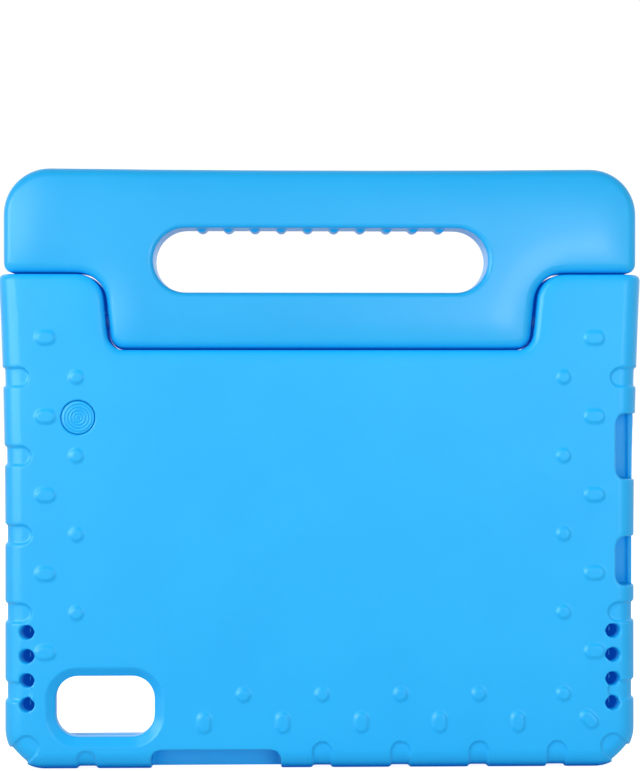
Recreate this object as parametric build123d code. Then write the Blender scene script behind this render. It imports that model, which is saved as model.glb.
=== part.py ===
from build123d import *
import math
import os

# Shockproof foam tablet case with a folding carry handle, which swings back to make a stand.
# +X is right and +Z is up, seen from behind with the handle at the top. -Y is the back and +Y the screen side.
# The origin is the middle of the overall width and depth, on the level of the bottom edge. Millimetres.

# ---- Tablet bay ---------------------------------------------------------------------------------------------
TABLET_WIDTH = 257.0
TABLET_HEIGHT = 168.8
TABLET_THICKNESS = 7.0
TABLET_PLAY = 0.4  # on each side of the tablet
BAY_CORNER_RADIUS = 8.0
LIP_OVERLAP = 3.4  # of the front lip over the tablet's glass
SCREEN_CORNER_RADIUS = 7.0
SCREEN_EDGE_RADIUS = 3.5

# ---- Body ---------------------------------------------------------------------------------------------------
DEPTH = 24.0
BACK_WALL = 8.5
BOTTOM_WALL = 10.1
SIDE_WALL = 12.5
SHOULDER_TOP = 221.6
SHOULDER_FLARE = 2.9  # how far each side leans out by the shoulder
FLARE_START = 105.0
BODY_CORNER_RADIUS = 18.0
BACK_EDGE_RADIUS = 9.0
FRONT_EDGE_RADIUS = 6.0

# ---- Seam between the handle and the body -------------------------------------------------------------------
SEAM_GAP = 0.5  # over the shoulders and under the tab
SEAM_SIDE_GAP = 1.3  # between the tab and the notch's walls
NOTCH_FLOOR = 188.9  # at the back face; a round trough in front of that
NOTCH_LEAN = 5.5  # degrees that each notch wall opens upward
NOTCH_HALF_WIDTH = 94.9  # at the floor
NOTCH_CORNER_RADIUS = 7.5
SHOULDER_INNER_RADIUS = 12.0
BODY_SEAM_EDGE_RADIUS = 2.4

# ---- Handle -------------------------------------------------------------------------------------------------
HANDLE_HALF_WIDTH = 141.5
HANDLE_TOP = 269.0
HANDLE_TOP_DIP = 0.9  # of the top edge's middle below its ends
HANDLE_CORNER_RADIUS = 20.5
HANDLE_EDGE_RADIUS = 3.6
HANDLE_RISE = 0.8  # of its back face above the body's
WING_CORNER_RADIUS = 4.2  # at the handle's outer corners, next to the shoulders
HAND_HOLE_WIDTH = 149.3
HAND_HOLE_BOTTOM = 213.3
HAND_HOLE_TOP = 242.0
HAND_HOLE_EDGE_RADIUS = 2.2
FINGER_RIDGES = 10
FINGER_RIDGE_PITCH = 11.85
FINGER_RIDGE_RADIUS = 2.6
FINGER_RIDGE_HEIGHT = 1.8
FINGER_RIDGE_LENGTH = 16.0

# ---- Grip pattern on the back and round the edges -----------------------------------------------------------
PATTERN_PITCH = 35.0
SIDE_PATTERN_TOP = 175.5
BOTTOM_PATTERN_SHIFT = 0.6
GROOVE_WIDTH = 8.7
GROOVE_REACH = 13.0  # in from the edge
CAMERA_GROOVE_REACH = 9.2  # of the one that stops at the camera window's frame
GROOVE_DEPTH = 1.1
CORNER_GROOVE_WIDTH = 10.8
CORNER_GROOVE_REACH = 13.2
CORNER_FLAT_DEPTH = 2.1  # of its flat floor, inside the rounded corner
STUD_HEIGHT = 0.9
STUD_EDGE_RADIUS = 0.7
STUD_WIDTH = 5.7
OVAL_STUD_LENGTH = 8.6
OUTER_STUDS_X = 122.4
INNER_STUDS_X = 108.6
OUTER_STUDS_Z = 21.5
INNER_STUDS_Z = 34.0
CORNER_STUD = (120.0, 22.5)

# ---- Openings in the back and sides -------------------------------------------------------------------------
CAMERA_CENTRE = (-96.2, 28.7)
CAMERA_SIZE = (44.0, 27.0)
CAMERA_CORNER_RADIUS = 10.0
CAMERA_BEVEL = 4.2
CAMERA_BEVEL_DEPTH = 3.0
SPEAKER_HOLES = 4
SPEAKER_X = 130.8
SPEAKER_TOP_Z = 62.2
SPEAKER_PITCH = 10.75
SPEAKER_OUTER_RADIUS = 3.3
SPEAKER_INNER_RADIUS = 2.4
SPEAKER_TILT = 20.0  # degrees that each hole leans in towards the bay
PORT_INNER_EDGE = 131.9
PORT_RANGES = ((82.0, 104.1), (129.7, 159.2))  # charging port, then speaker and card tray
PORT_CORNER_RADIUS = 4.5
PORT_RIDGE_START = 139.3
PORT_RIDGE_HEIGHT = 1.2
BUTTON_RANGE = (-75.8, -17.8)
BUTTON_INNER_EDGE = 9.4

# ---- Badge --------------------------------------------------------------------------------------------------
BADGE_CENTRE = (-108.0, 157.6)
BADGE_RADIUS = 7.3
BADGE_GAP = 0.35
BADGE_THICKNESS = 1.5
BADGE_RING_RADII = (6.1, 3.9, 1.5)
BADGE_RING_WIDTH = 0.5
BADGE_RING_HEIGHT = 0.25

# ---- Handle pivots ------------------------------------------------------------------------------------------
PIVOT_FROM_BACK = 6.5
PIVOT_ABOVE_NOTCH = 11.2  # above the notch's edge on the back face
PIN_RADIUS = 1.7
PIN_FLAT = 1.25  # from the pin's axis to the flat of its D
PIN_GRIP = 13.0  # length of its D end
RUNNING_CLEARANCE = 0.05
FIT_CLEARANCE = 0.02  # between pieces that are bonded or pressed together
BUSH_RADIUS = 2.85
BUSH_LENGTH = 15.0
BUSH_FLANGE_RADIUS = 3.2
BUSH_FLANGE_THICKNESS = 1.2
BUSH_FLANGE_RECESS = 0.5
BUSH_MOUTH_CLEARANCE = 0.1  # round the flange, in the foam
BUSH_MOUTH_LENGTH = 1.0  # of the counterbore in front of the flange, out through the seam's wall
BUSH_GROOVES = 3
BUSH_GROOVE_WIDTH = 1.6
BUSH_GROOVE_DEPTH = 0.3
SNAP_LENGTH = 3.2
SNAP_PLAY = 2.0  # behind the snap head, in the bush's chamber
SNAP_RADIUS = 2.0
SNAP_CHAMBER_RADIUS = 2.2
SNAP_SLOT = 0.8
SNAP_SLOT_DEPTH = 8.0
WASHER_RADIUS = 3.1
WASHER_PLAY = 0.1

# ---- Worked out from the above ------------------------------------------------------------------------------
BACK = STUD_HEIGHT - (DEPTH + STUD_HEIGHT) / 2
FRONT = BACK + DEPTH
HANDLE_BACK = BACK - HANDLE_RISE
BAY_FLOOR = BACK + BACK_WALL
BAY_ROOF = BAY_FLOOR + TABLET_THICKNESS + TABLET_PLAY
BAY_HALF_WIDTH = TABLET_WIDTH / 2 + TABLET_PLAY
BAY_HEIGHT = TABLET_HEIGHT + 2 * TABLET_PLAY
BAY_MIDDLE = BOTTOM_WALL + BAY_HEIGHT / 2
BODY_HALF_WIDTH = BAY_HALF_WIDTH + SIDE_WALL
PIVOT_Y = BACK + PIVOT_FROM_BACK
PIVOT_Z = NOTCH_FLOOR + PIVOT_ABOVE_NOTCH
TROUGH_RADIUS = math.hypot(PIVOT_FROM_BACK, PIVOT_ABOVE_NOTCH)
NOTCH_SLOPE = math.tan(math.radians(NOTCH_LEAN))
NOTCH_WALL_X = NOTCH_HALF_WIDTH + PIVOT_ABOVE_NOTCH * NOTCH_SLOPE  # at the pivots' height
TAB_WALL_X = NOTCH_WALL_X - SEAM_SIDE_GAP / math.cos(math.radians(NOTCH_LEAN))
CASE_FLANGE_X = NOTCH_WALL_X + BUSH_FLANGE_RECESS
HANDLE_FLANGE_X = TAB_WALL_X - BUSH_FLANGE_RECESS
CASE_BUSH_END = CASE_FLANGE_X + BUSH_LENGTH
SNAP_CHAMBER_X = CASE_BUSH_END - SNAP_LENGTH - SNAP_PLAY
ABOVE_BODY = 245.0  # height of the block that the seam trims down to the body
OUTSIDE = 200.0  # clear of the case on every side
PAST = 5.0  # that a cutter reaches beyond what it cuts


# ---- Shared shapes ------------------------------------------------------------------------------------------
def slab(outline, back, front):
    """A flat outline, drawn as X and Z, made solid between two depths."""
    return extrude(Plane.XZ.offset(-front) * outline, front - back)


def through(outline):
    """A flat outline made solid from behind the case to in front of it."""
    return slab(outline, BACK - PAST, FRONT + PAST)


def rounded_panel(width, height, radius, centre):
    return Pos(*centre) * RectangleRounded(width, height, radius)


def along_x(start, end, radius):
    """A cylinder on the pivot axis."""
    return Pos((start + end) / 2, PIVOT_Y, PIVOT_Z) * Rot(0, 90, 0) * Cylinder(radius, end - start)


def both_sides(right):
    return {"left": mirror(right, Plane.YZ), "right": right}


def rim_edges(shape, y):
    """The edges that lie flat at one depth."""
    return shape.edges().filter_by(lambda e: e.bounding_box().size.Y < 1e-3 and abs(e.center().Y - y) < 1e-3)


# ---- Body outline and seam ----------------------------------------------------------------------------------
def side_line(z):
    """Half the body's width at a height: straight, then a long arc out to the shoulders."""
    rise = SHOULDER_TOP - FLARE_START
    radius = (rise**2 + SHOULDER_FLARE**2) / (2 * SHOULDER_FLARE)
    lean = max(z - FLARE_START, 0)
    return BODY_HALF_WIDTH + radius - math.sqrt(radius**2 - lean**2)


def body_outline(inset):
    middle = (FLARE_START + ABOVE_BODY) / 2
    right = [(side_line(z) - inset, z) for z in (FLARE_START, middle, ABOVE_BODY)]
    left = [(-x, z) for x, z in reversed(right)]
    foot = BODY_HALF_WIDTH - inset
    edges = [
        Line((-foot, inset), (foot, inset)),
        Line((foot, inset), right[0]),
        ThreePointArc(*right),
        Line(right[-1], left[0]),
        ThreePointArc(*left),
        Line(left[-1], (-foot, inset)),
    ]
    face = make_face(Wire(edges))
    corners = face.vertices().sort_by(Axis.Y)[:2]
    return fillet(corners, BODY_CORNER_RADIUS - inset)


def body_block(inset=0.0):
    """The plain rounded block, with every surface moved in by inset."""
    block = slab(body_outline(inset), BACK + inset, FRONT - inset)
    back = rim_edges(block, BACK + inset).filter_by(lambda e: e.center().Z < ABOVE_BODY - 1)
    block = fillet(back, BACK_EDGE_RADIUS - inset)
    front = rim_edges(block, FRONT - inset).filter_by(lambda e: e.center().Z < ABOVE_BODY - 1)
    return fillet(front, FRONT_EDGE_RADIUS - inset)


def above_seam(gap, side_gap):
    """Everything above the seam, standing off it by the gaps: the handle's tab and what is over the shoulders.

    The tab turns in a trough that is round about the pivots behind them, and flat in front of them."""
    radius = TROUGH_RADIUS - gap
    floor = PIVOT_Z - radius
    top = SHOULDER_TOP + gap
    pivot_x = NOTCH_WALL_X - side_gap / math.cos(math.radians(NOTCH_LEAN))
    floor_x = pivot_x - radius * NOTCH_SLOPE
    top_x = pivot_x + (top - PIVOT_Z) * NOTCH_SLOPE
    right = [(floor_x, floor), (top_x, top), (OUTSIDE, top), (OUTSIDE, HANDLE_TOP + OUTSIDE)]
    left = [(-x, z) for x, z in reversed(right)]
    face = make_face(Polyline(*right, *left, close=True))
    shoulders = face.vertices().filter_by(lambda v: abs(v.Y - top) < 0.01 and abs(v.X) < OUTSIDE - 1)
    block = through(fillet(shoulders, SHOULDER_INNER_RADIUS + side_gap))
    behind = Pos(0, PIVOT_Y - radius / 2, PIVOT_Z - radius / 2) * Box(OUTSIDE, radius, radius)
    block -= behind - along_x(-OUTSIDE, OUTSIDE, radius)
    corners = block.edges().filter_by(lambda e: e.bounding_box().size.Y > 1 and e.center().Z < PIVOT_Z - 1)
    corners = corners.filter_by(lambda e: abs(e.center().X) > floor_x - NOTCH_CORNER_RADIUS)
    return fillet(corners, NOTCH_CORNER_RADIUS - side_gap)


# ---- Grip pattern -------------------------------------------------------------------------------------------
def pill(length, width, centre, angle):
    """A slot outline whose long axis is turned by angle from +X."""
    return Pos(*centre) * Rot(0, 0, angle) * SlotOverall(length, width)


def groove_outlines():
    """Slots that run in from the edge all round the body."""
    length = 2 * GROOVE_REACH  # half of each is outside the body
    for step in range(5):
        z = SIDE_PATTERN_TOP - step * PATTERN_PITCH
        sides = (-1, 1) if step in (0, 3, 4) else (-1,)  # the ports take two places on the right
        for side in sides:
            yield pill(length, GROOVE_WIDTH, (side * side_line(z), z), 0)
    for step in range(4):  # the buttons take the two places to the left of these
        yield pill(length, GROOVE_WIDTH, (BOTTOM_PATTERN_SHIFT + step * PATTERN_PITCH, 0), 90)
    beside_camera = (BOTTOM_PATTERN_SHIFT - 3 * PATTERN_PITCH, 0)
    yield pill(2 * CAMERA_GROOVE_REACH, GROOVE_WIDTH, beside_camera, 90)
    for side in (-1, 1):
        yield pill(2 * CORNER_GROOVE_REACH, CORNER_GROOVE_WIDTH, corner_point(side, 0), -side * 45)


def corner_point(side, depth):
    """A point on the diagonal of a bottom corner, at a depth inside its rounded edge."""
    inward = (BODY_CORNER_RADIUS * (math.sqrt(2) - 1) + depth) / math.sqrt(2)
    return side * (BODY_HALF_WIDTH - inward), inward


def cut_grooves(body):
    core = body_block(GROOVE_DEPTH)
    for side in (-1, 1):
        beyond = Pos(*corner_point(side, CORNER_FLAT_DEPTH - BODY_CORNER_RADIUS)) * Rot(0, 0, 45)
        flat = beyond * Rectangle(2 * BODY_CORNER_RADIUS, 2 * BODY_CORNER_RADIUS)
        core -= through(flat)
    cutters = [through(outline) - core for outline in groove_outlines()]
    return body - cutters


def stud_outlines():
    """Ovals next to the edges, and round ones a row further in."""
    for step in range(5):
        z = SIDE_PATTERN_TOP + (0.5 - step) * PATTERN_PITCH
        for side in (-1, 1):
            yield pill(OVAL_STUD_LENGTH, STUD_WIDTH, (side * OUTER_STUDS_X, z), 0)
    for step in range(-2, 3):
        x = BOTTOM_PATTERN_SHIFT + (step + 0.5) * PATTERN_PITCH
        yield pill(OVAL_STUD_LENGTH, STUD_WIDTH, (x, OUTER_STUDS_Z), 90)
    yield pill(OVAL_STUD_LENGTH, STUD_WIDTH, CORNER_STUD, -45)
    places = [(BOTTOM_PATTERN_SHIFT + step * PATTERN_PITCH, INNER_STUDS_Z) for step in range(-1, 3)]
    places.append((INNER_STUDS_X, INNER_STUDS_Z))
    for step in range(4):
        z = SIDE_PATTERN_TOP - step * PATTERN_PITCH
        places += [(-INNER_STUDS_X, z), (INNER_STUDS_X, z)]
    for place in places:
        yield Pos(*place) * Circle(STUD_WIDTH / 2)


def add_studs(body):
    for outline in stud_outlines():
        stud = slab(outline, BACK - STUD_HEIGHT, BACK + PAST)
        body += fillet(rim_edges(stud, BACK - STUD_HEIGHT), STUD_EDGE_RADIUS)
    return body


# ---- Openings -----------------------------------------------------------------------------------------------
def cut_bay(body):
    """The tablet's pocket, and the screen opening in front of it with a rounded rim."""
    bay = rounded_panel(2 * BAY_HALF_WIDTH, BAY_HEIGHT, BAY_CORNER_RADIUS, (0, BAY_MIDDLE))
    body -= slab(bay, BAY_FLOOR, BAY_ROOF)
    inset = TABLET_PLAY + LIP_OVERLAP
    width = 2 * (BAY_HALF_WIDTH - inset)
    screen = rounded_panel(width, BAY_HEIGHT - 2 * inset, SCREEN_CORNER_RADIUS, (0, BAY_MIDDLE))
    body -= slab(screen, BAY_ROOF - PAST, FRONT + PAST)
    inside = lambda e: abs(e.center().X) < width / 2 + 1 and abs(e.center().Z - BAY_MIDDLE) < BAY_HEIGHT / 2
    return fillet(rim_edges(body, FRONT).filter_by(inside), SCREEN_EDGE_RADIUS)


def cut_camera_window(body):
    """A window through the back wall, with a bevelled frame round it."""
    width, height = CAMERA_SIZE
    window = rounded_panel(width, height, CAMERA_CORNER_RADIUS, CAMERA_CENTRE)
    body -= slab(window, BACK - PAST, BAY_FLOOR + PAST)
    x, z = CAMERA_CENTRE
    near = lambda e: abs(e.center().X - x) < width / 2 + 1 and abs(e.center().Z - z) < height / 2 + 1
    rim = rim_edges(body, BACK).filter_by(near)
    return chamfer(rim, CAMERA_BEVEL, CAMERA_BEVEL_DEPTH)


def speaker_holes():
    """Tapered holes in a row down each side, which lean in from the back to the bay's corner."""
    length = (BACK_WALL + 3) / math.cos(math.radians(SPEAKER_TILT))
    cone = Cone(SPEAKER_INNER_RADIUS, SPEAKER_OUTER_RADIUS, length, align=(Align.CENTER, Align.CENTER, Align.MAX))
    holes = []
    for side in (-1, 1):
        for step in range(SPEAKER_HOLES):
            mouth = Pos(side * SPEAKER_X, BACK, SPEAKER_TOP_Z - step * SPEAKER_PITCH)
            holes.append(mouth * Rot(0, 0, side * SPEAKER_TILT) * Rot(90, 0, 0) * Pos(0, 0, 1) * cone)
    return holes


def port_window(low, high):
    """A window in the right edge, open to the bay and to the back, with a ridge along its outer edge."""
    outside = PORT_INNER_EDGE + 2 * (BODY_HALF_WIDTH - PORT_INNER_EDGE)
    middle = (low + high) / 2
    opening = rounded_panel(
        outside - PORT_INNER_EDGE, high - low, PORT_CORNER_RADIUS, ((PORT_INNER_EDGE + outside) / 2, middle)
    )
    ridge = Pos(PORT_RIDGE_START + SIDE_WALL / 2, middle) * Rectangle(SIDE_WALL, high - low + 2 * PAST)
    window = slab(opening, BACK - PAST, BAY_ROOF)
    window -= slab(ridge, BAY_ROOF - PORT_RIDGE_HEIGHT, BAY_ROOF + PAST)
    to_bay = Pos(PORT_INNER_EDGE, middle) * Rectangle(SIDE_WALL, high - low - 2 * PORT_CORNER_RADIUS)
    return [window, slab(to_bay, BAY_FLOOR, BAY_ROOF)]


def button_window():
    """A window in the bottom edge, open to the bay and to the back."""
    left, right = BUTTON_RANGE
    middle = (left + right) / 2
    opening = rounded_panel(right - left, 2 * BUTTON_INNER_EDGE, PORT_CORNER_RADIUS, (middle, 0))
    to_bay = Pos(middle, BOTTOM_WALL) * Rectangle(right - left - 2 * PORT_CORNER_RADIUS, 2 * PAST)
    return [slab(opening, BACK - PAST, BAY_ROOF), slab(to_bay, BAY_FLOOR, BAY_ROOF)]


def bush_seat(flange_x, outward):
    """The bore in the foam for a bush that runs away from the seam, with room round its flange."""
    deep = flange_x + outward * (BUSH_LENGTH + FIT_CLEARANCE)
    shoulder = flange_x + outward * (BUSH_FLANGE_THICKNESS + FIT_CLEARANCE)
    mouth = flange_x - outward * BUSH_MOUTH_LENGTH
    barrel = along_x(*sorted((deep, flange_x)), BUSH_RADIUS + FIT_CLEARANCE)
    return barrel + along_x(*sorted((shoulder, mouth)), BUSH_FLANGE_RADIUS + BUSH_MOUTH_CLEARANCE)


def on_seam_rim(edge):
    """Whether a body edge is on the loop round the seam, along a face or round the end of a shoulder."""
    box = edge.bounding_box()
    beside_seam = box.min.Z > BAY_MIDDLE + BAY_HEIGHT / 2 and abs(edge.center().X) < BAY_HALF_WIDTH
    along_a_face = box.size.Y < 0.1 and beside_seam
    round_an_end = box.min.Z > SHOULDER_TOP - 0.01 and box.size.Y < DEPTH - 1
    return along_a_face or round_an_end


def make_case_body():
    body = body_block() - above_seam(0, 0)
    body = fillet(body.edges().filter_by(on_seam_rim), BODY_SEAM_EDGE_RADIUS)
    body = cut_bay(body)
    body = cut_camera_window(body)
    body = cut_grooves(body)
    pocket = Pos(*BADGE_CENTRE) * Circle(BADGE_RADIUS + BADGE_GAP)
    body -= slab(pocket, BACK - PAST, BACK + BADGE_THICKNESS)
    for low, high in PORT_RANGES:
        body -= port_window(low, high)
    body -= button_window()
    body -= speaker_holes()
    body -= list(both_sides(bush_seat(CASE_FLANGE_X, 1)).values())
    return add_studs(body)


def make_badge_disc():
    """A plain disc that lies flush in its pocket, with thin raised rings."""
    centre = Pos(*BADGE_CENTRE)
    disc = slab(centre * Circle(BADGE_RADIUS), BACK, BACK + BADGE_THICKNESS - FIT_CLEARANCE)
    disc = fillet(rim_edges(disc, BACK), BADGE_RING_HEIGHT)
    for radius in BADGE_RING_RADII:
        ring = Circle(radius) - Circle(radius - BADGE_RING_WIDTH)
        disc += slab(centre * ring, BACK - BADGE_RING_HEIGHT, BACK + 0.1)
    return disc


# ---- Handle -------------------------------------------------------------------------------------------------
def handle_outline():
    top = HANDLE_TOP
    low = PIVOT_Z - TROUGH_RADIUS
    half = HANDLE_HALF_WIDTH
    top_edge = ThreePointArc((-half, top), (0, top - HANDLE_TOP_DIP), (half, top))
    sides = Polyline((half, top), (half, low), (-half, low), (-half, top))
    face = make_face(Wire([top_edge, *sides.edges()]))
    return fillet(face.vertices().filter_by(lambda v: abs(v.Y - top) < 0.01), HANDLE_CORNER_RADIUS)


def handle_blank():
    blank = slab(handle_outline(), HANDLE_BACK, FRONT) & above_seam(SEAM_GAP, SEAM_SIDE_GAP)
    at_side = lambda e: e.bounding_box().size.Y > DEPTH - 1 and abs(abs(e.center().X) - HANDLE_HALF_WIDTH) < 0.01
    wing_corners = blank.edges().filter_by(at_side).filter_by(lambda e: e.center().Z < SHOULDER_TOP + 1)
    blank = fillet(wing_corners, WING_CORNER_RADIUS)
    for y in (HANDLE_BACK, FRONT):
        blank = fillet(rim_edges(blank, y), HANDLE_EDGE_RADIUS)
    return blank


def finger_ridges():
    """Round-ended ribs along the top of the hand hole, between the fingers."""
    straight = FINGER_RIDGE_LENGTH - 2 * FINGER_RIDGE_RADIUS
    z = HAND_HOLE_TOP + FINGER_RIDGE_RADIUS - FINGER_RIDGE_HEIGHT
    middle = (HANDLE_BACK + FRONT) / 2
    for step in range(FINGER_RIDGES):
        x = (step - (FINGER_RIDGES - 1) / 2) * FINGER_RIDGE_PITCH
        ridge = Pos(x, middle, z) * Rot(90, 0, 0) * Cylinder(FINGER_RIDGE_RADIUS, straight)
        for end in (-straight / 2, straight / 2):
            ridge += Pos(x, middle + end, z) * Sphere(FINGER_RIDGE_RADIUS)
        yield ridge


def make_handle():
    hole_height = HAND_HOLE_TOP - HAND_HOLE_BOTTOM
    hole = pill(HAND_HOLE_WIDTH, hole_height, (0, HAND_HOLE_BOTTOM + hole_height / 2), 0)
    handle = handle_blank() - through(hole)
    near_hole = lambda e: abs(e.center().X) < HAND_HOLE_WIDTH / 2 + 1 and (
        HAND_HOLE_BOTTOM - 1 < e.center().Z < HAND_HOLE_TOP + 1
    )
    for y in (HANDLE_BACK, FRONT):
        handle = fillet(rim_edges(handle, y).filter_by(near_hole), HAND_HOLE_EDGE_RADIUS)
    handle += list(finger_ridges())
    handle -= list(both_sides(bush_seat(HANDLE_FLANGE_X, -1)).values())
    return handle


# ---- Handle pivots, for the right side ----------------------------------------------------------------------
def bush_blank(flange_x, outward):
    """A flanged barrel with grooves that key it into the foam."""
    end = flange_x + outward * BUSH_LENGTH
    shoulder = flange_x + outward * BUSH_FLANGE_THICKNESS
    bush = along_x(*sorted((flange_x, end)), BUSH_RADIUS)
    bush += along_x(*sorted((flange_x, shoulder)), BUSH_FLANGE_RADIUS)
    spacing = (BUSH_LENGTH - BUSH_FLANGE_THICKNESS) / BUSH_GROOVES
    for step in range(BUSH_GROOVES):
        middle = shoulder + outward * (step + 0.5) * spacing
        around = along_x(middle - BUSH_GROOVE_WIDTH / 2, middle + BUSH_GROOVE_WIDTH / 2, BUSH_RADIUS + 1)
        core = along_x(middle - BUSH_GROOVE_WIDTH, middle + BUSH_GROOVE_WIDTH, BUSH_RADIUS - BUSH_GROOVE_DEPTH)
        bush -= around - core
    return bush


def d_shape(start, end, radius, flat):
    """A cylinder on the pivot axis, cut flat on its upper side."""
    length = end - start
    cutter = Pos(start + length / 2, PIVOT_Y, PIVOT_Z + flat + radius) * Box(length + 1, 4 * radius, 2 * radius)
    return along_x(start, end, radius) - cutter


def make_handle_bush():
    bore_end = HANDLE_FLANGE_X - PIN_GRIP - FIT_CLEARANCE
    bore = d_shape(bore_end, HANDLE_FLANGE_X + 1, PIN_RADIUS + FIT_CLEARANCE, PIN_FLAT + FIT_CLEARANCE)
    return bush_blank(HANDLE_FLANGE_X, -1) - bore


def make_case_bush():
    """Its plain bore carries the pin, and the wider chamber behind takes the pin's snap head."""
    end = CASE_BUSH_END + 1
    bush = bush_blank(CASE_FLANGE_X, 1) - along_x(CASE_FLANGE_X - 1, end, PIN_RADIUS + RUNNING_CLEARANCE)
    return bush - along_x(SNAP_CHAMBER_X, end, SNAP_CHAMBER_RADIUS)


def make_pivot_pin():
    """A D end fixed in the handle's bush, a round journal, and a split head that snaps into the case's bush."""
    head = SNAP_CHAMBER_X + RUNNING_CLEARANCE
    tip = head + SNAP_LENGTH
    journal = HANDLE_FLANGE_X + WASHER_PLAY
    pin = d_shape(HANDLE_FLANGE_X - PIN_GRIP, journal, PIN_RADIUS, PIN_FLAT)
    pin += along_x(journal, head + 0.5, PIN_RADIUS)
    taper = Pos(head + SNAP_LENGTH / 2, PIVOT_Y, PIVOT_Z) * Rot(0, 90, 0)
    pin += taper * Cone(SNAP_RADIUS, PIN_RADIUS - 0.6, SNAP_LENGTH)
    slot = Pos(tip, PIVOT_Y, PIVOT_Z) * Box(2 * (SNAP_LENGTH + SNAP_SLOT_DEPTH), SNAP_SLOT, 4 * PIN_RADIUS)
    return pin - slot


def make_friction_washer():
    start = HANDLE_FLANGE_X + WASHER_PLAY
    end = CASE_FLANGE_X - WASHER_PLAY
    return along_x(start, end, WASHER_RADIUS) - along_x(start - 1, end + 1, PIN_RADIUS + WASHER_PLAY)


# ---- Write every piece --------------------------------------------------------------------------------------
pieces = {
    "case_body": make_case_body(),
    "handle": make_handle(),
    "badge_disc": make_badge_disc(),
}
pivot_pieces = {
    "handle_bush": make_handle_bush(),
    "case_bush": make_case_bush(),
    "pivot_pin": make_pivot_pin(),
    "friction_washer": make_friction_washer(),
}
for name, right in pivot_pieces.items():
    for side, shape in both_sides(right).items():
        pieces[f"{side}_{name}"] = shape

os.makedirs("parts", exist_ok=True)
for name, shape in pieces.items():
    export_step(shape, f"parts/{name}.step")
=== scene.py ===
import math

import bmesh
import bpy
import numpy as np
from mathutils import Matrix, Vector


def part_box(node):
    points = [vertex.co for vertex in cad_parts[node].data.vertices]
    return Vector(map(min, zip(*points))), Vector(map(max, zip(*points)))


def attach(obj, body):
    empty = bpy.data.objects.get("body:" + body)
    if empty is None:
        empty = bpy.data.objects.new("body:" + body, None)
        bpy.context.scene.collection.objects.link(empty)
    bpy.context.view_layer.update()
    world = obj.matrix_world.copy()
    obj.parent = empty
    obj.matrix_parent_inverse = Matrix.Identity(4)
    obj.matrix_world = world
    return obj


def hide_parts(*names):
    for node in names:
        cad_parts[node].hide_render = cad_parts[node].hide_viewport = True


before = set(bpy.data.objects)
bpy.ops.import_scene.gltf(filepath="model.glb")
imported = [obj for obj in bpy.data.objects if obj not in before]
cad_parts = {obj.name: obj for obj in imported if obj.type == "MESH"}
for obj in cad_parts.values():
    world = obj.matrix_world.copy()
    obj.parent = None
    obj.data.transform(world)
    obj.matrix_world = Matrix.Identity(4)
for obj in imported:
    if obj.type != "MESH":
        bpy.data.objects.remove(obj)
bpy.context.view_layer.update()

# A foam tablet case with a folding carry handle, seen from behind. Metres; +X right, +Z up, -Y the back.

MM = 0.001

# ---- Sizes that the looks need ------------------------------------------------------------------------------
BACK = -11.55 * MM  # the body's back face, between its studs
FOAM_VOXEL = 0.55 * MM
FOAM_SMOOTHING_STEPS = 3
FOAM_TRIANGLES = 190000  # most that a foam piece may have
# How far the faces sink at their outline, and how far in from there the slope reaches
HANDLE_SWELL = ((2.0 * MM, 9.0 * MM), (0.9 * MM, 1.8 * MM))
BODY_SWELL = ((0.9 * MM, 5.0 * MM), (0.9 * MM, 1.8 * MM))
OUTLINE_CELL = 0.8 * MM
OUTLINE_MARGIN = 50  # cells round the piece
BLUR_REACHES = 4  # how many reaches out a blur is worked out
WELD_DISTANCE = 0.002 * MM
EVEN_SHADING_DEGREES = 4  # furthest that a face's normal is turned
SPEAKER_X = 130.8 * MM
SPEAKER_HEIGHTS = (62.2 * MM, 51.45 * MM, 40.7 * MM, 29.95 * MM)
SPEAKER_RADIUS = 3.7 * MM
SPEAKER_LEAN = math.tan(math.radians(20))
SPEAKER_SHADE_START = 0.8 * MM  # below the back face
SPEAKER_SHADE_FULL = 4.0 * MM
BAY_FLOOR = BACK + 8.5 * MM
BAY_LIP = BACK + 16.2 * MM
BAY_SIDE = (124.0 * MM, 130.0 * MM)  # the stretch across the bay's edge that is seen through the holes
BADGE_RING_RADII = (6.3 * MM, 4.9 * MM, 3.5 * MM, 2.1 * MM, 0.9 * MM)
BADGE_RING_WIDTH = 0.55 * MM
BADGE_RING_HEIGHT = 0.3 * MM
BADGE_EDGE_RADIUS = 0.45 * MM
BADGE_MIDDLE_RADIUS = 0.05 * MM  # of the small flat that closes its back
BADGE_RING_STEPS = 8
BADGE_EDGE_STEPS = 6

# ---- Colours and patterns -----------------------------------------------------------------------------------
WHITE = (1.0, 1.0, 1.0)
FOAM_BLUE = (0.010, 0.466, 0.955)
FOAM_BLUE_DEEP = (0.008, 0.448, 0.940)
# Painted shade: the dark blue painted into the foam's hollows and speaker holes
PAINTED_SHADE_BLUE = (0.0, 0.03, 0.20)
PAINTED_GLOW_BLUE = (0.0, 0.035, 0.24)  # painted glow that stands in for light coming through the foam round a hollow
HOLLOW_REACH = 7.0 * MM  # how far off the surroundings count for the painted shade of a hollow
# How much of the surroundings is open where the painted shade of a hollow is at its darkest, and where it ends
FOAM_PAINTED_SHADE = (0.05, 0.42)
FOAM_SHINE_PAINTED_SHADE = (0.3, 0.8)  # the same, for where the foam's shine is cut away as painted shade of its reflection
# the same, for the painted glow in the hinge pieces' hollows
HINGE_PAINTED_GLOW = (0.05, 0.6)
FOAM_SHINE = 0.42
FOAM_ROUGHNESS = 0.29  # the same all over, because the mirrored light shows any change of it as a mark
PLASTIC_SHINE = 0.25
NYLON_BLUE = (0.012, 0.11, 0.38)
ACETAL_BLUE = (0.012, 0.08, 0.3)
RUBBER_BLUE = (0.003, 0.06, 0.3)
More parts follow.
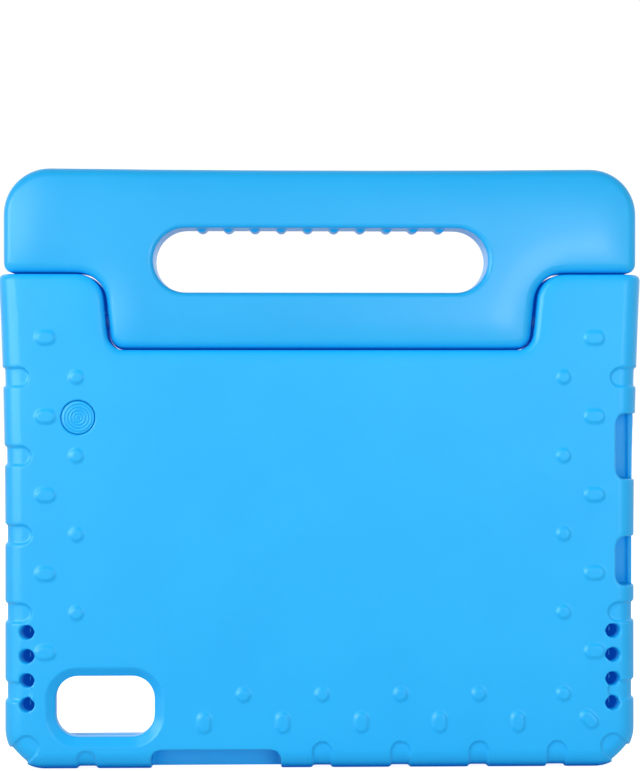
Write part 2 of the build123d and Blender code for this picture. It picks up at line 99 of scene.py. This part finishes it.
# Scales of the patterns, per metre, and how high the ones in relief are
MOTTLE_SCALE = 24.0
SPECK_SCALE = 1100.0
RUB_SCALE = 160.0
GRAIN_SCALE = 2600.0
GRAIN_HEIGHT = 0.03 * MM
PEEL_SCALE = 380.0
PEEL_HEIGHT = 0.07 * MM
WAVE_SCALE = 45.0
WAVE_HEIGHT = 0.5 * MM
FOAM_RELIEF = 0.2  # strength of each of the foam's three reliefs
FLOW_SCALE = (80.0, 500.0, 500.0)
SPARK_SCALE = 6000.0
SPARK_HEIGHT = 0.02 * MM

# ---- Camera and light ---------------------------------------------------------------------------------------
CAMERA_DISTANCE = 0.88  # from the case's back face
CAMERA_X = -0.010
CAMERA_Z = 0.1768
CAMERA_YAW = 1.4  # degrees that it is turned to the right of square
VIEW_CENTRE_X = -0.0004
VIEW_CENTRE_Z = 0.1718
VIEW_WIDTH = 0.2852  # that the frame's width covers on the back face
SENSOR_WIDTH = 36.0
FLOOR_RADIUS = 4.0
PAPER_GREY = (0.5, 0.5, 0.5)
PAPER_ROUGHNESS = 0.9
FLOOR_LIGHT = 0.15  # what the floor gives off towards the case, and what the camera sees
FLOOR_SEEN = 0.90
SKY_LIGHT_LOW = 0.75
SKY_LIGHT_HIGH = 0.35
SKY_FADE = (0.05, 0.5)  # upward share of the directions between which low turns into high
BACKDROP_LIGHT = 1.0  # on the screen side
BACKDROP_FADE = (0.1, 0.5)
SKY_SEEN = 1.05
CASE_MIDDLE = (0.0, 0.0, 0.134)
# The softboxes, which all point at the case's middle: place, width and height, and watts
SOFTBOXES = {
    "fill": ((0.7, -2.2, 0.3), (1.4, 1.0), 15.0),
    "body_key": ((-1.7, -1.9, 2.2), (1.6, 2.0), 55.0),
    "handle_key": ((-2.6, -1.9, 0.8), (1.6, 2.0), 44.0),
    "edge_shine": ((-1.25, -1.15, 0.25), (2.0, 1.3), 32.0),
    "wing_shine": ((0.333, -1.18, 0.157), (0.2, 0.2), 1.6),
    "body_shine": ((0.75, -1.1, 0.0), (0.5, 1.4), 4.0),
}
DULL_LIGHTS = ("fill", "body_key", "handle_key")  # these light the colours and aren't mirrored
SHINE_LIGHTS = ("edge_shine", "wing_shine", "body_shine")  # these are only mirrored


# ---- Materials ----------------------------------------------------------------------------------------------
class Nodes:
    """Short calls for building the node tree of a material or a world."""

    def __init__(self, owner, shader="Principled BSDF"):
        owner.use_nodes = True
        self.owner = owner
        self.tree = owner.node_tree
        self.shader = self.tree.nodes[shader]

    def add(self, kind, inputs=None, **settings):
        node = self.tree.nodes.new("ShaderNode" + kind)
        for key, value in settings.items():
            setattr(node, key, value)
        for key, value in (inputs or {}).items():
            self.set(node, key, value)
        return node

    def set(self, node, key, value):
        if isinstance(value, bpy.types.NodeSocket):
            self.tree.links.new(value, node.inputs[key])
        else:
            node.inputs[key].default_value = value

    def noise(self, place, scale, detail=2.0, roughness=0.5):
        node = self.add("TexNoise", {"Vector": place, "Scale": scale, "Detail": detail, "Roughness": roughness})
        return node.outputs["Fac"]

    def remap(self, value, low, high, to_low, to_high):
        node = self.add("MapRange", {"Value": value, "From Min": low, "From Max": high})
        self.set(node, "To Min", to_low)
        self.set(node, "To Max", to_high)
        return node.outputs["Result"]

    def shut_in(self, deep, open_air):
        """1 in a recess that at most the share deep of the surroundings reaches, 0 from open_air up; the mask
        of the painted shade and glow.
        """
        nearby = self.add("AmbientOcclusion", {"Distance": HOLLOW_REACH}, samples=6)
        return self.remap(nearby.outputs["AO"], deep, open_air, 1.0, 0.0)

    def math(self, operation, a, b):
        node = self.add("Math", operation=operation)
        self.set(node, 0, a)
        self.set(node, 1, b)
        return node.outputs[0]

    def bump(self, height, strength, distance, normal=None):
        node = self.add("Bump", {"Height": height, "Strength": strength, "Distance": distance})
        if normal:
            self.set(node, "Normal", normal)
        return node.outputs["Normal"]

    def mix(self, factor, a, b):
        node = self.add("Mix", data_type="RGBA")
        self.set(node, "Factor", factor)
        self.set(node, "A", a)
        self.set(node, "B", b)
        return node.outputs["Result"]

    def seen_or_lit(self, lit, seen):
        """The strength seen for the camera, and the strength lit for all that falls on the object."""
        path = self.add("LightPath")
        return self.remap(path.outputs["Is Camera Ray"], 0.0, 1.0, lit, seen)


def colour(rgb):
    return (*rgb, 1.0)


def foam_material(name):
    """Moulded closed-cell foam: a satin skin with a fine grain, with painted shade, a painted glow and its
    shine cut down in its hollows.
    """
    n = Nodes(bpy.data.materials.new(name))
    place = n.add("TexCoord").outputs["Object"]
    painted = n.add("Attribute", attribute_name="painted_shade").outputs["Fac"]
    # Painted shade: dark blue where the surroundings close in and in the painted speaker holes
    painted_shade = n.math("MAXIMUM", n.shut_in(*FOAM_PAINTED_SHADE), painted)
    n.set(n.shader, "Base Color", n.mix(painted_shade, foam_colour(n, place), colour(PAINTED_SHADE_BLUE)))
    # Painted glow in the same hollows
    n.set(n.shader, "Emission Color", colour(PAINTED_GLOW_BLUE))
    n.set(n.shader, "Emission Strength", painted_shade)
    n.set(n.shader, "Roughness", FOAM_ROUGHNESS)
    # Painted shade of the shine: the reflection is cut down in hollows
    shine_painted_shade = n.math("MAXIMUM", n.shut_in(*FOAM_SHINE_PAINTED_SHADE), painted)
    n.set(n.shader, "Specular IOR Level", n.remap(shine_painted_shade, 0.0, 1.0, FOAM_SHINE, 0.0))
    n.set(n.shader, "Normal", foam_relief(n, place))
    return n.owner


def foam_colour(n, place):
    """Blue with a faint mottle and specks, a little paler where edges are rubbed."""
    mottle = n.remap(n.noise(place, MOTTLE_SCALE, 3.0), 0.35, 0.65, 0.0, 1.0)
    base = n.mix(mottle, colour(FOAM_BLUE), colour(FOAM_BLUE_DEEP))
    speck = n.remap(n.noise(place, SPECK_SCALE, 2.0), 0.62, 0.75, 0.0, 0.05)
    base = n.mix(speck, base, colour([min(1.0, c * 1.1 + 0.05) for c in FOAM_BLUE]))
    edges = n.remap(n.add("NewGeometry").outputs["Pointiness"], 0.53, 0.62, 0.0, 0.10)
    rubbed = n.math("MULTIPLY", edges, n.remap(n.noise(place, RUB_SCALE, 4.0), 0.4, 0.65, 0.3, 1.0))
    return n.mix(rubbed, base, colour([c * 0.9 + 0.10 for c in FOAM_BLUE]))


def foam_relief(n, place):
    """Three reliefs on top of each other: the fine grain, the skin's orange peel and broad soft waves."""
    grain = n.add("TexVoronoi", {"Vector": place, "Scale": GRAIN_SCALE}, feature="SMOOTH_F1")
    fine = n.bump(grain.outputs["Distance"], FOAM_RELIEF, GRAIN_HEIGHT)
    skin = n.bump(n.noise(place, PEEL_SCALE), FOAM_RELIEF, PEEL_HEIGHT, fine)
    return n.bump(n.noise(place, WAVE_SCALE), FOAM_RELIEF, WAVE_HEIGHT, skin)


def plastic_material(name, rgb, roughness):
    """Moulded engineering plastic: faint flow streaks and a fine spark-eroded grain."""
    n = Nodes(bpy.data.materials.new(name))
    place = n.add("TexCoord").outputs["Object"]
    streaks = n.add("Mapping", {"Vector": place, "Scale": FLOW_SCALE}).outputs["Vector"]
    flow = n.noise(streaks, 1.0, 3.0)
    dark = [c * 0.82 for c in rgb]
    n.set(n.shader, "Base Color", n.mix(flow, colour(dark), colour(rgb)))
    n.set(n.shader, "Roughness", n.remap(flow, 0.3, 0.7, roughness - 0.06, roughness + 0.08))
    n.set(n.shader, "Specular IOR Level", PLASTIC_SHINE)
    # Painted glow in the hinge's hollows
    n.set(n.shader, "Emission Color", colour(PAINTED_GLOW_BLUE))
    n.set(n.shader, "Emission Strength", n.shut_in(*HINGE_PAINTED_GLOW))
    n.set(n.shader, "Normal", n.bump(n.noise(place, SPARK_SCALE), 0.3, SPARK_HEIGHT))
    return n.owner


def paper_material():
    """Plain studio paper, which is also a soft light from below."""
    n = Nodes(bpy.data.materials.new("paper"))
    n.set(n.shader, "Base Color", colour(PAPER_GREY))
    n.set(n.shader, "Roughness", PAPER_ROUGHNESS)
    n.set(n.shader, "Emission Color", colour(WHITE))
    n.set(n.shader, "Emission Strength", n.seen_or_lit(FLOOR_LIGHT, FLOOR_SEEN))
    return n.owner


# ---- Mesh helpers -------------------------------------------------------------------------------------------
def new_object(name, mesh):
    piece = bpy.data.objects.new(name, mesh)
    bpy.context.scene.collection.objects.link(piece)
    return piece


def apply_modifiers(piece):
    graph = bpy.context.evaluated_depsgraph_get()
    mesh = bpy.data.meshes.new_from_object(piece.evaluated_get(graph), depsgraph=graph)
    piece.modifiers.clear()
    piece.data = mesh


def triangle_count(mesh):
    return sum(len(face.vertices) - 2 for face in mesh.polygons)


def get_points(mesh):
    points = np.empty(len(mesh.vertices) * 3, np.float64)
    mesh.vertices.foreach_get("co", points)
    return points.reshape(-1, 3)


def get_normals(mesh):
    normals = np.empty(len(mesh.vertices) * 3, np.float64)
    mesh.vertex_normals.foreach_get("vector", normals)
    return normals.reshape(-1, 3)


def set_points(mesh, points):
    mesh.vertices.foreach_set("co", points.astype(np.float32).ravel())
    mesh.update()


def soft_foam(node, name):
    """The CAD solid again as one fine, even skin whose edges are all softly rounded, as if moulded."""
    piece = new_object(name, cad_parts[node].data.copy())
    edit = bmesh.new()
    edit.from_mesh(piece.data)
    bmesh.ops.remove_doubles(edit, verts=edit.verts, dist=WELD_DISTANCE)
    edit.to_mesh(piece.data)
    edit.free()
    remesh = piece.modifiers.new("skin", "REMESH")
    remesh.mode = "VOXEL"
    remesh.voxel_size = FOAM_VOXEL
    smooth = piece.modifiers.new("soften", "SMOOTH")
    smooth.factor = 0.5
    smooth.iterations = FOAM_SMOOTHING_STEPS
    apply_modifiers(piece)
    return piece


def blur(grid, reach):
    """Spreads each cell over its neighbours as a bell curve, along both axes."""
    furthest = round(BLUR_REACHES * reach)
    steps = np.arange(-furthest, furthest + 1)
    bell = np.exp(-0.5 * (steps / reach) ** 2)
    bell /= bell.sum()
    for axis in (0, 1):
        grid = np.apply_along_axis(np.convolve, axis, grid, bell, "same")
    return grid


def filled_outline(points, corner):
    """A grid of cells that are 1 within the piece as seen from behind, holes and windows included."""
    cells = np.floor((points[:, [0, 2]] - corner) / OUTLINE_CELL).astype(int)
    size = cells.max(axis=0) + OUTLINE_MARGIN
    lowest = np.full(size[0], size[1])
    highest = np.full(size[0], -1)
    np.minimum.at(lowest, cells[:, 0], cells[:, 1])
    np.maximum.at(highest, cells[:, 0], cells[:, 1])
    heights = np.arange(size[1])
    return ((heights >= lowest[:, None]) & (heights <= highest[:, None])).astype(float)


class Swelling:
    """How far a piece's two faces sink softly towards their outline, so that they swell as foam does."""

    def __init__(self, piece, slopes):
        points = get_points(piece.data)
        self.low, self.high = points[:, 1].min(), points[:, 1].max()
        self.corner = points[:, [0, 2]].min(axis=0) - OUTLINE_MARGIN * OUTLINE_CELL
        outline = filled_outline(points, self.corner)
        self.drop = sum(2 * depth * (1 - blur(outline, reach / OUTLINE_CELL)) for depth, reach in slopes)

    def sample(self, grid, points):
        place = (points[:, [0, 2]] - self.corner) / OUTLINE_CELL - 0.5
        cell = np.floor(place).astype(int)
        across, up = cell.T
        right, above = (place - cell).T
        lower = (1 - right) * grid[across, up] + right * grid[across + 1, up]
        upper = (1 - right) * grid[across, up + 1] + right * grid[across + 1, up + 1]
        return (1 - above) * lower + above * upper

    def outward(self, points):
        """-1 on the back face, 0 half-way through the piece and 1 on its front face."""
        return (2 * points[:, 1] - self.low - self.high) / (self.high - self.low)

    def sink(self, piece):
        points = get_points(piece.data)
        points[:, 1] -= self.outward(points) * self.sample(self.drop, points)
        set_points(piece.data, points)

    def even_shading(self, piece):
        """Gives the two faces the exact normals of their slopes, free of the mesh's own unevenness."""
        mesh = piece.data
        points = get_points(mesh)
        outward = self.outward(points)
        slope_x, slope_z = np.gradient(self.drop, OUTLINE_CELL)
        exact = np.empty_like(points)
        exact[:, 0] = np.abs(outward) * self.sample(slope_x, points)
        exact[:, 1] = np.sign(outward)
        exact[:, 2] = np.abs(outward) * self.sample(slope_z, points)
        exact /= np.linalg.norm(exact, axis=1)[:, None]
        normals = get_normals(mesh)
        nearly = (normals * exact).sum(axis=1) > math.cos(math.radians(EVEN_SHADING_DEGREES))
        normals[nearly] = exact[nearly]
        mesh.normals_split_custom_set_from_vertices(normals.tolist())


def paint_speaker_hole_shade(piece):
    """Paints shade into the insides of the speaker holes, and onto what is seen through them, as into a hollow.
    """
    points = get_points(piece.data)
    across = np.abs(points[:, 0])
    depth = points[:, 1] - BACK
    aside = np.min([np.abs(points[:, 2] - height) for height in SPEAKER_HEIGHTS], axis=0)
    from_axis = np.hypot(across - SPEAKER_X + depth * SPEAKER_LEAN, aside)
    in_hole = (from_axis < SPEAKER_RADIUS) & (points[:, 1] < BAY_FLOOR)
    behind = (across > BAY_SIDE[0]) & (across < BAY_SIDE[1]) & (aside < SPEAKER_RADIUS)
    behind &= (points[:, 1] >= BAY_FLOOR) & (points[:, 1] < BAY_LIP)
    shade = (depth - SPEAKER_SHADE_START) / (SPEAKER_SHADE_FULL - SPEAKER_SHADE_START)
    shade = np.where(in_hole | behind, np.clip(shade, 0, 1), 0)
    painted_shade = piece.data.attributes.new("painted_shade", "FLOAT", "POINT")
    painted_shade.data.foreach_set("value", shade.astype(np.float32))


def lathe(name, profile, centre, steps=128):
    """A mesh turned about the front-to-back line through centre, from pairs of a radius and a depth."""
    edit = bmesh.new()
    rings = []
    for radius, depth in profile:
        ring = []
        for step in range(steps):
            angle = 2 * math.pi * step / steps
            ring.append(edit.verts.new((radius * math.cos(angle), depth, radius * math.sin(angle))))
        rings.append(ring)
    for inner, outer in zip(rings, rings[1:]):
        for step in range(steps):
            following = (step + 1) % steps
            edit.faces.new((inner[step], outer[step], outer[following], inner[following]))
    edit.faces.new(rings[0][::-1])
    edit.faces.new(rings[-1])
    bmesh.ops.recalc_face_normals(edit, faces=edit.faces)
    mesh = bpy.data.meshes.new(name)
    edit.to_mesh(mesh)
    edit.free()
    for face in mesh.polygons:
        face.use_smooth = True
    piece = new_object(name, mesh)
    piece.data.transform(Matrix.Translation(centre))
    return piece


def badge_profile(radius, front, back):
    """A flat button with fine raised rings and a rounded edge, from the middle of its back face outwards."""
    rings = []
    for ring in reversed(BADGE_RING_RADII):
        for step in range(BADGE_RING_STEPS + 1):
            swing = step / BADGE_RING_STEPS
            height = BADGE_RING_HEIGHT * math.sin(math.pi * swing) ** 2
            rings.append((ring - BADGE_RING_WIDTH * (1 - swing), back - height))
    edge = []
    for step in range(BADGE_EDGE_STEPS + 1):
        angle = math.pi / 2 * step / BADGE_EDGE_STEPS
        edge.append((
            radius - BADGE_EDGE_RADIUS * (1 - math.sin(angle)),
            back + BADGE_EDGE_RADIUS * (1 - math.cos(angle)),
        ))
    return [(BADGE_MIDDLE_RADIUS, back), *rings, *edge, (radius, front)]


def reduce(piece):
    """Fewer triangles where the skin is flat."""
    count = triangle_count(piece.data)
    if count > FOAM_TRIANGLES:
        decimate = piece.modifiers.new("reduce", "DECIMATE")
        decimate.ratio = FOAM_TRIANGLES / count
        apply_modifiers(piece)
    for face in piece.data.polygons:
        face.use_smooth = True


def finish_piece(piece, body, node, material):
    piece.data.materials.clear()
    piece.data.materials.append(material)
    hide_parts(node)
    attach(piece, body)


# ---- The object's pieces ------------------------------------------------------------------------------------
def foam_piece(node, body_name, slopes, material):
    """The refined mesh that stands for one of the two large foam solids."""
    piece = soft_foam(node, node + "_foam")
    swelling = Swelling(piece, slopes)
    swelling.sink(piece)
    reduce(piece)
    swelling.even_shading(piece)
    finish_piece(piece, body_name, node, material)
    return piece


def badge_piece():
    low, high = (Vector(corner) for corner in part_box("badge_disc"))
    middle = (low + high) / 2
    profile = badge_profile((high.x - low.x) / 2, high.y, BACK)
    piece = lathe("badge_button", profile, Vector((middle.x, 0.0, middle.z)))
    finish_piece(piece, "case", "badge_disc", foam_material("blue_badge"))
    return piece


def dressed_hinge():
    """The hinge's CAD pieces on both sides, with their materials on."""
    nylon = plastic_material("bush_nylon", NYLON_BLUE, 0.5)
    acetal = plastic_material("pin_acetal", ACETAL_BLUE, 0.4)
    rubber = plastic_material("washer_rubber", RUBBER_BLUE, 0.7)
    finishes = {"handle_bush": nylon, "case_bush": nylon, "pivot_pin": acetal, "friction_washer": rubber}
    pieces = []
    for side in ("left", "right"):
        for part, material in finishes.items():
            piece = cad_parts[f"{side}_{part}"]
            for slot in piece.material_slots:
                slot.material = material
            pieces.append(piece)
    return pieces


foam = foam_material("blue_foam")
body = foam_piece("case_body", "case", BODY_SWELL, foam)
# painted shade in the speaker holes and on the bay's edge seen through them
paint_speaker_hole_shade(body)
handle = foam_piece("handle", "carry_handle", HANDLE_SWELL, foam)
badge = badge_piece()
hinge = dressed_hinge()


# ---- Stage --------------------------------------------------------------------------------------------------
def paper_floor():
    mesh = bpy.data.meshes.new("floor")
    edit = bmesh.new()
    bmesh.ops.create_circle(edit, cap_ends=True, segments=96, radius=FLOOR_RADIUS)
    edit.to_mesh(mesh)
    edit.free()
    mesh.materials.append(paper_material())
    piece = new_object("floor", mesh)
    return piece


def studio_world():
    """White all round, brightest behind the screen side and fading upwards elsewhere."""
    world = bpy.data.worlds.new("studio")
    bpy.context.scene.world = world
    n = Nodes(world, "Background")
    direction = n.add("SeparateXYZ", {"Vector": n.add("TexCoord").outputs["Generated"]})
    sky = n.remap(direction.outputs["Z"], *SKY_FADE, SKY_LIGHT_LOW, SKY_LIGHT_HIGH)
    sky = n.remap(direction.outputs["Y"], *BACKDROP_FADE, sky, BACKDROP_LIGHT)
    n.set(n.shader, "Color", colour(WHITE))
    n.set(n.shader, "Strength", n.seen_or_lit(sky, SKY_SEEN))


def softbox(name, place, size, power):
    light = bpy.data.lights.new(name, "AREA")
    light.shape = "RECTANGLE"
    light.size, light.size_y = size
    light.energy = power
    lamp = new_object(name, light)
    lamp.location = place
    lamp.rotation_euler = (Vector(CASE_MIDDLE) - Vector(place)).to_track_quat("-Z", "Y").to_euler()
    return lamp


def light_only(lamp, pieces):
    """Keeps a softbox's light off everything but these pieces."""
    receivers = bpy.data.collections.new(lamp.name + "_receivers")
    for piece in pieces:
        receivers.objects.link(piece)
    lamp.light_linking.receiver_collection = receivers


def studio_lights(floor):
    """The body is lit from high up and the handle from lower down, and the shines lie along their edges."""
    lamps = {name: softbox(name, *settings) for name, settings in SOFTBOXES.items()}
    for name in DULL_LIGHTS:
        lamps[name].visible_glossy = False
    for name in SHINE_LIGHTS:
        lamps[name].visible_diffuse = False
    light_only(lamps["wing_shine"], [handle])
    light_only(lamps["body_shine"], [body])
    light_only(lamps["handle_key"], [handle])
    light_only(lamps["body_key"], [body, badge, floor, *hinge])


def square_on_camera():
    """Nearly square to the back face, with its lens shifted so that the whole case is in the frame."""
    data = bpy.data.cameras.new("camera")
    data.sensor_fit = "HORIZONTAL"
    data.sensor_width = SENSOR_WIDTH
    data.lens = SENSOR_WIDTH * CAMERA_DISTANCE / VIEW_WIDTH
    yaw = math.radians(CAMERA_YAW)
    aside = math.atan2(VIEW_CENTRE_X - CAMERA_X, CAMERA_DISTANCE) - yaw
    data.shift_x = math.tan(aside) * CAMERA_DISTANCE / VIEW_WIDTH
    data.shift_y = (VIEW_CENTRE_Z - CAMERA_Z) / VIEW_WIDTH
    camera = new_object("camera", data)
    camera.location = (CAMERA_X, BACK - CAMERA_DISTANCE, CAMERA_Z)
    camera.rotation_euler = (math.radians(90), 0, -yaw)
    bpy.context.scene.camera = camera


studio_lights(paper_floor())
studio_world()
square_on_camera()
bpy.context.scene.view_settings.view_transform = "Standard"
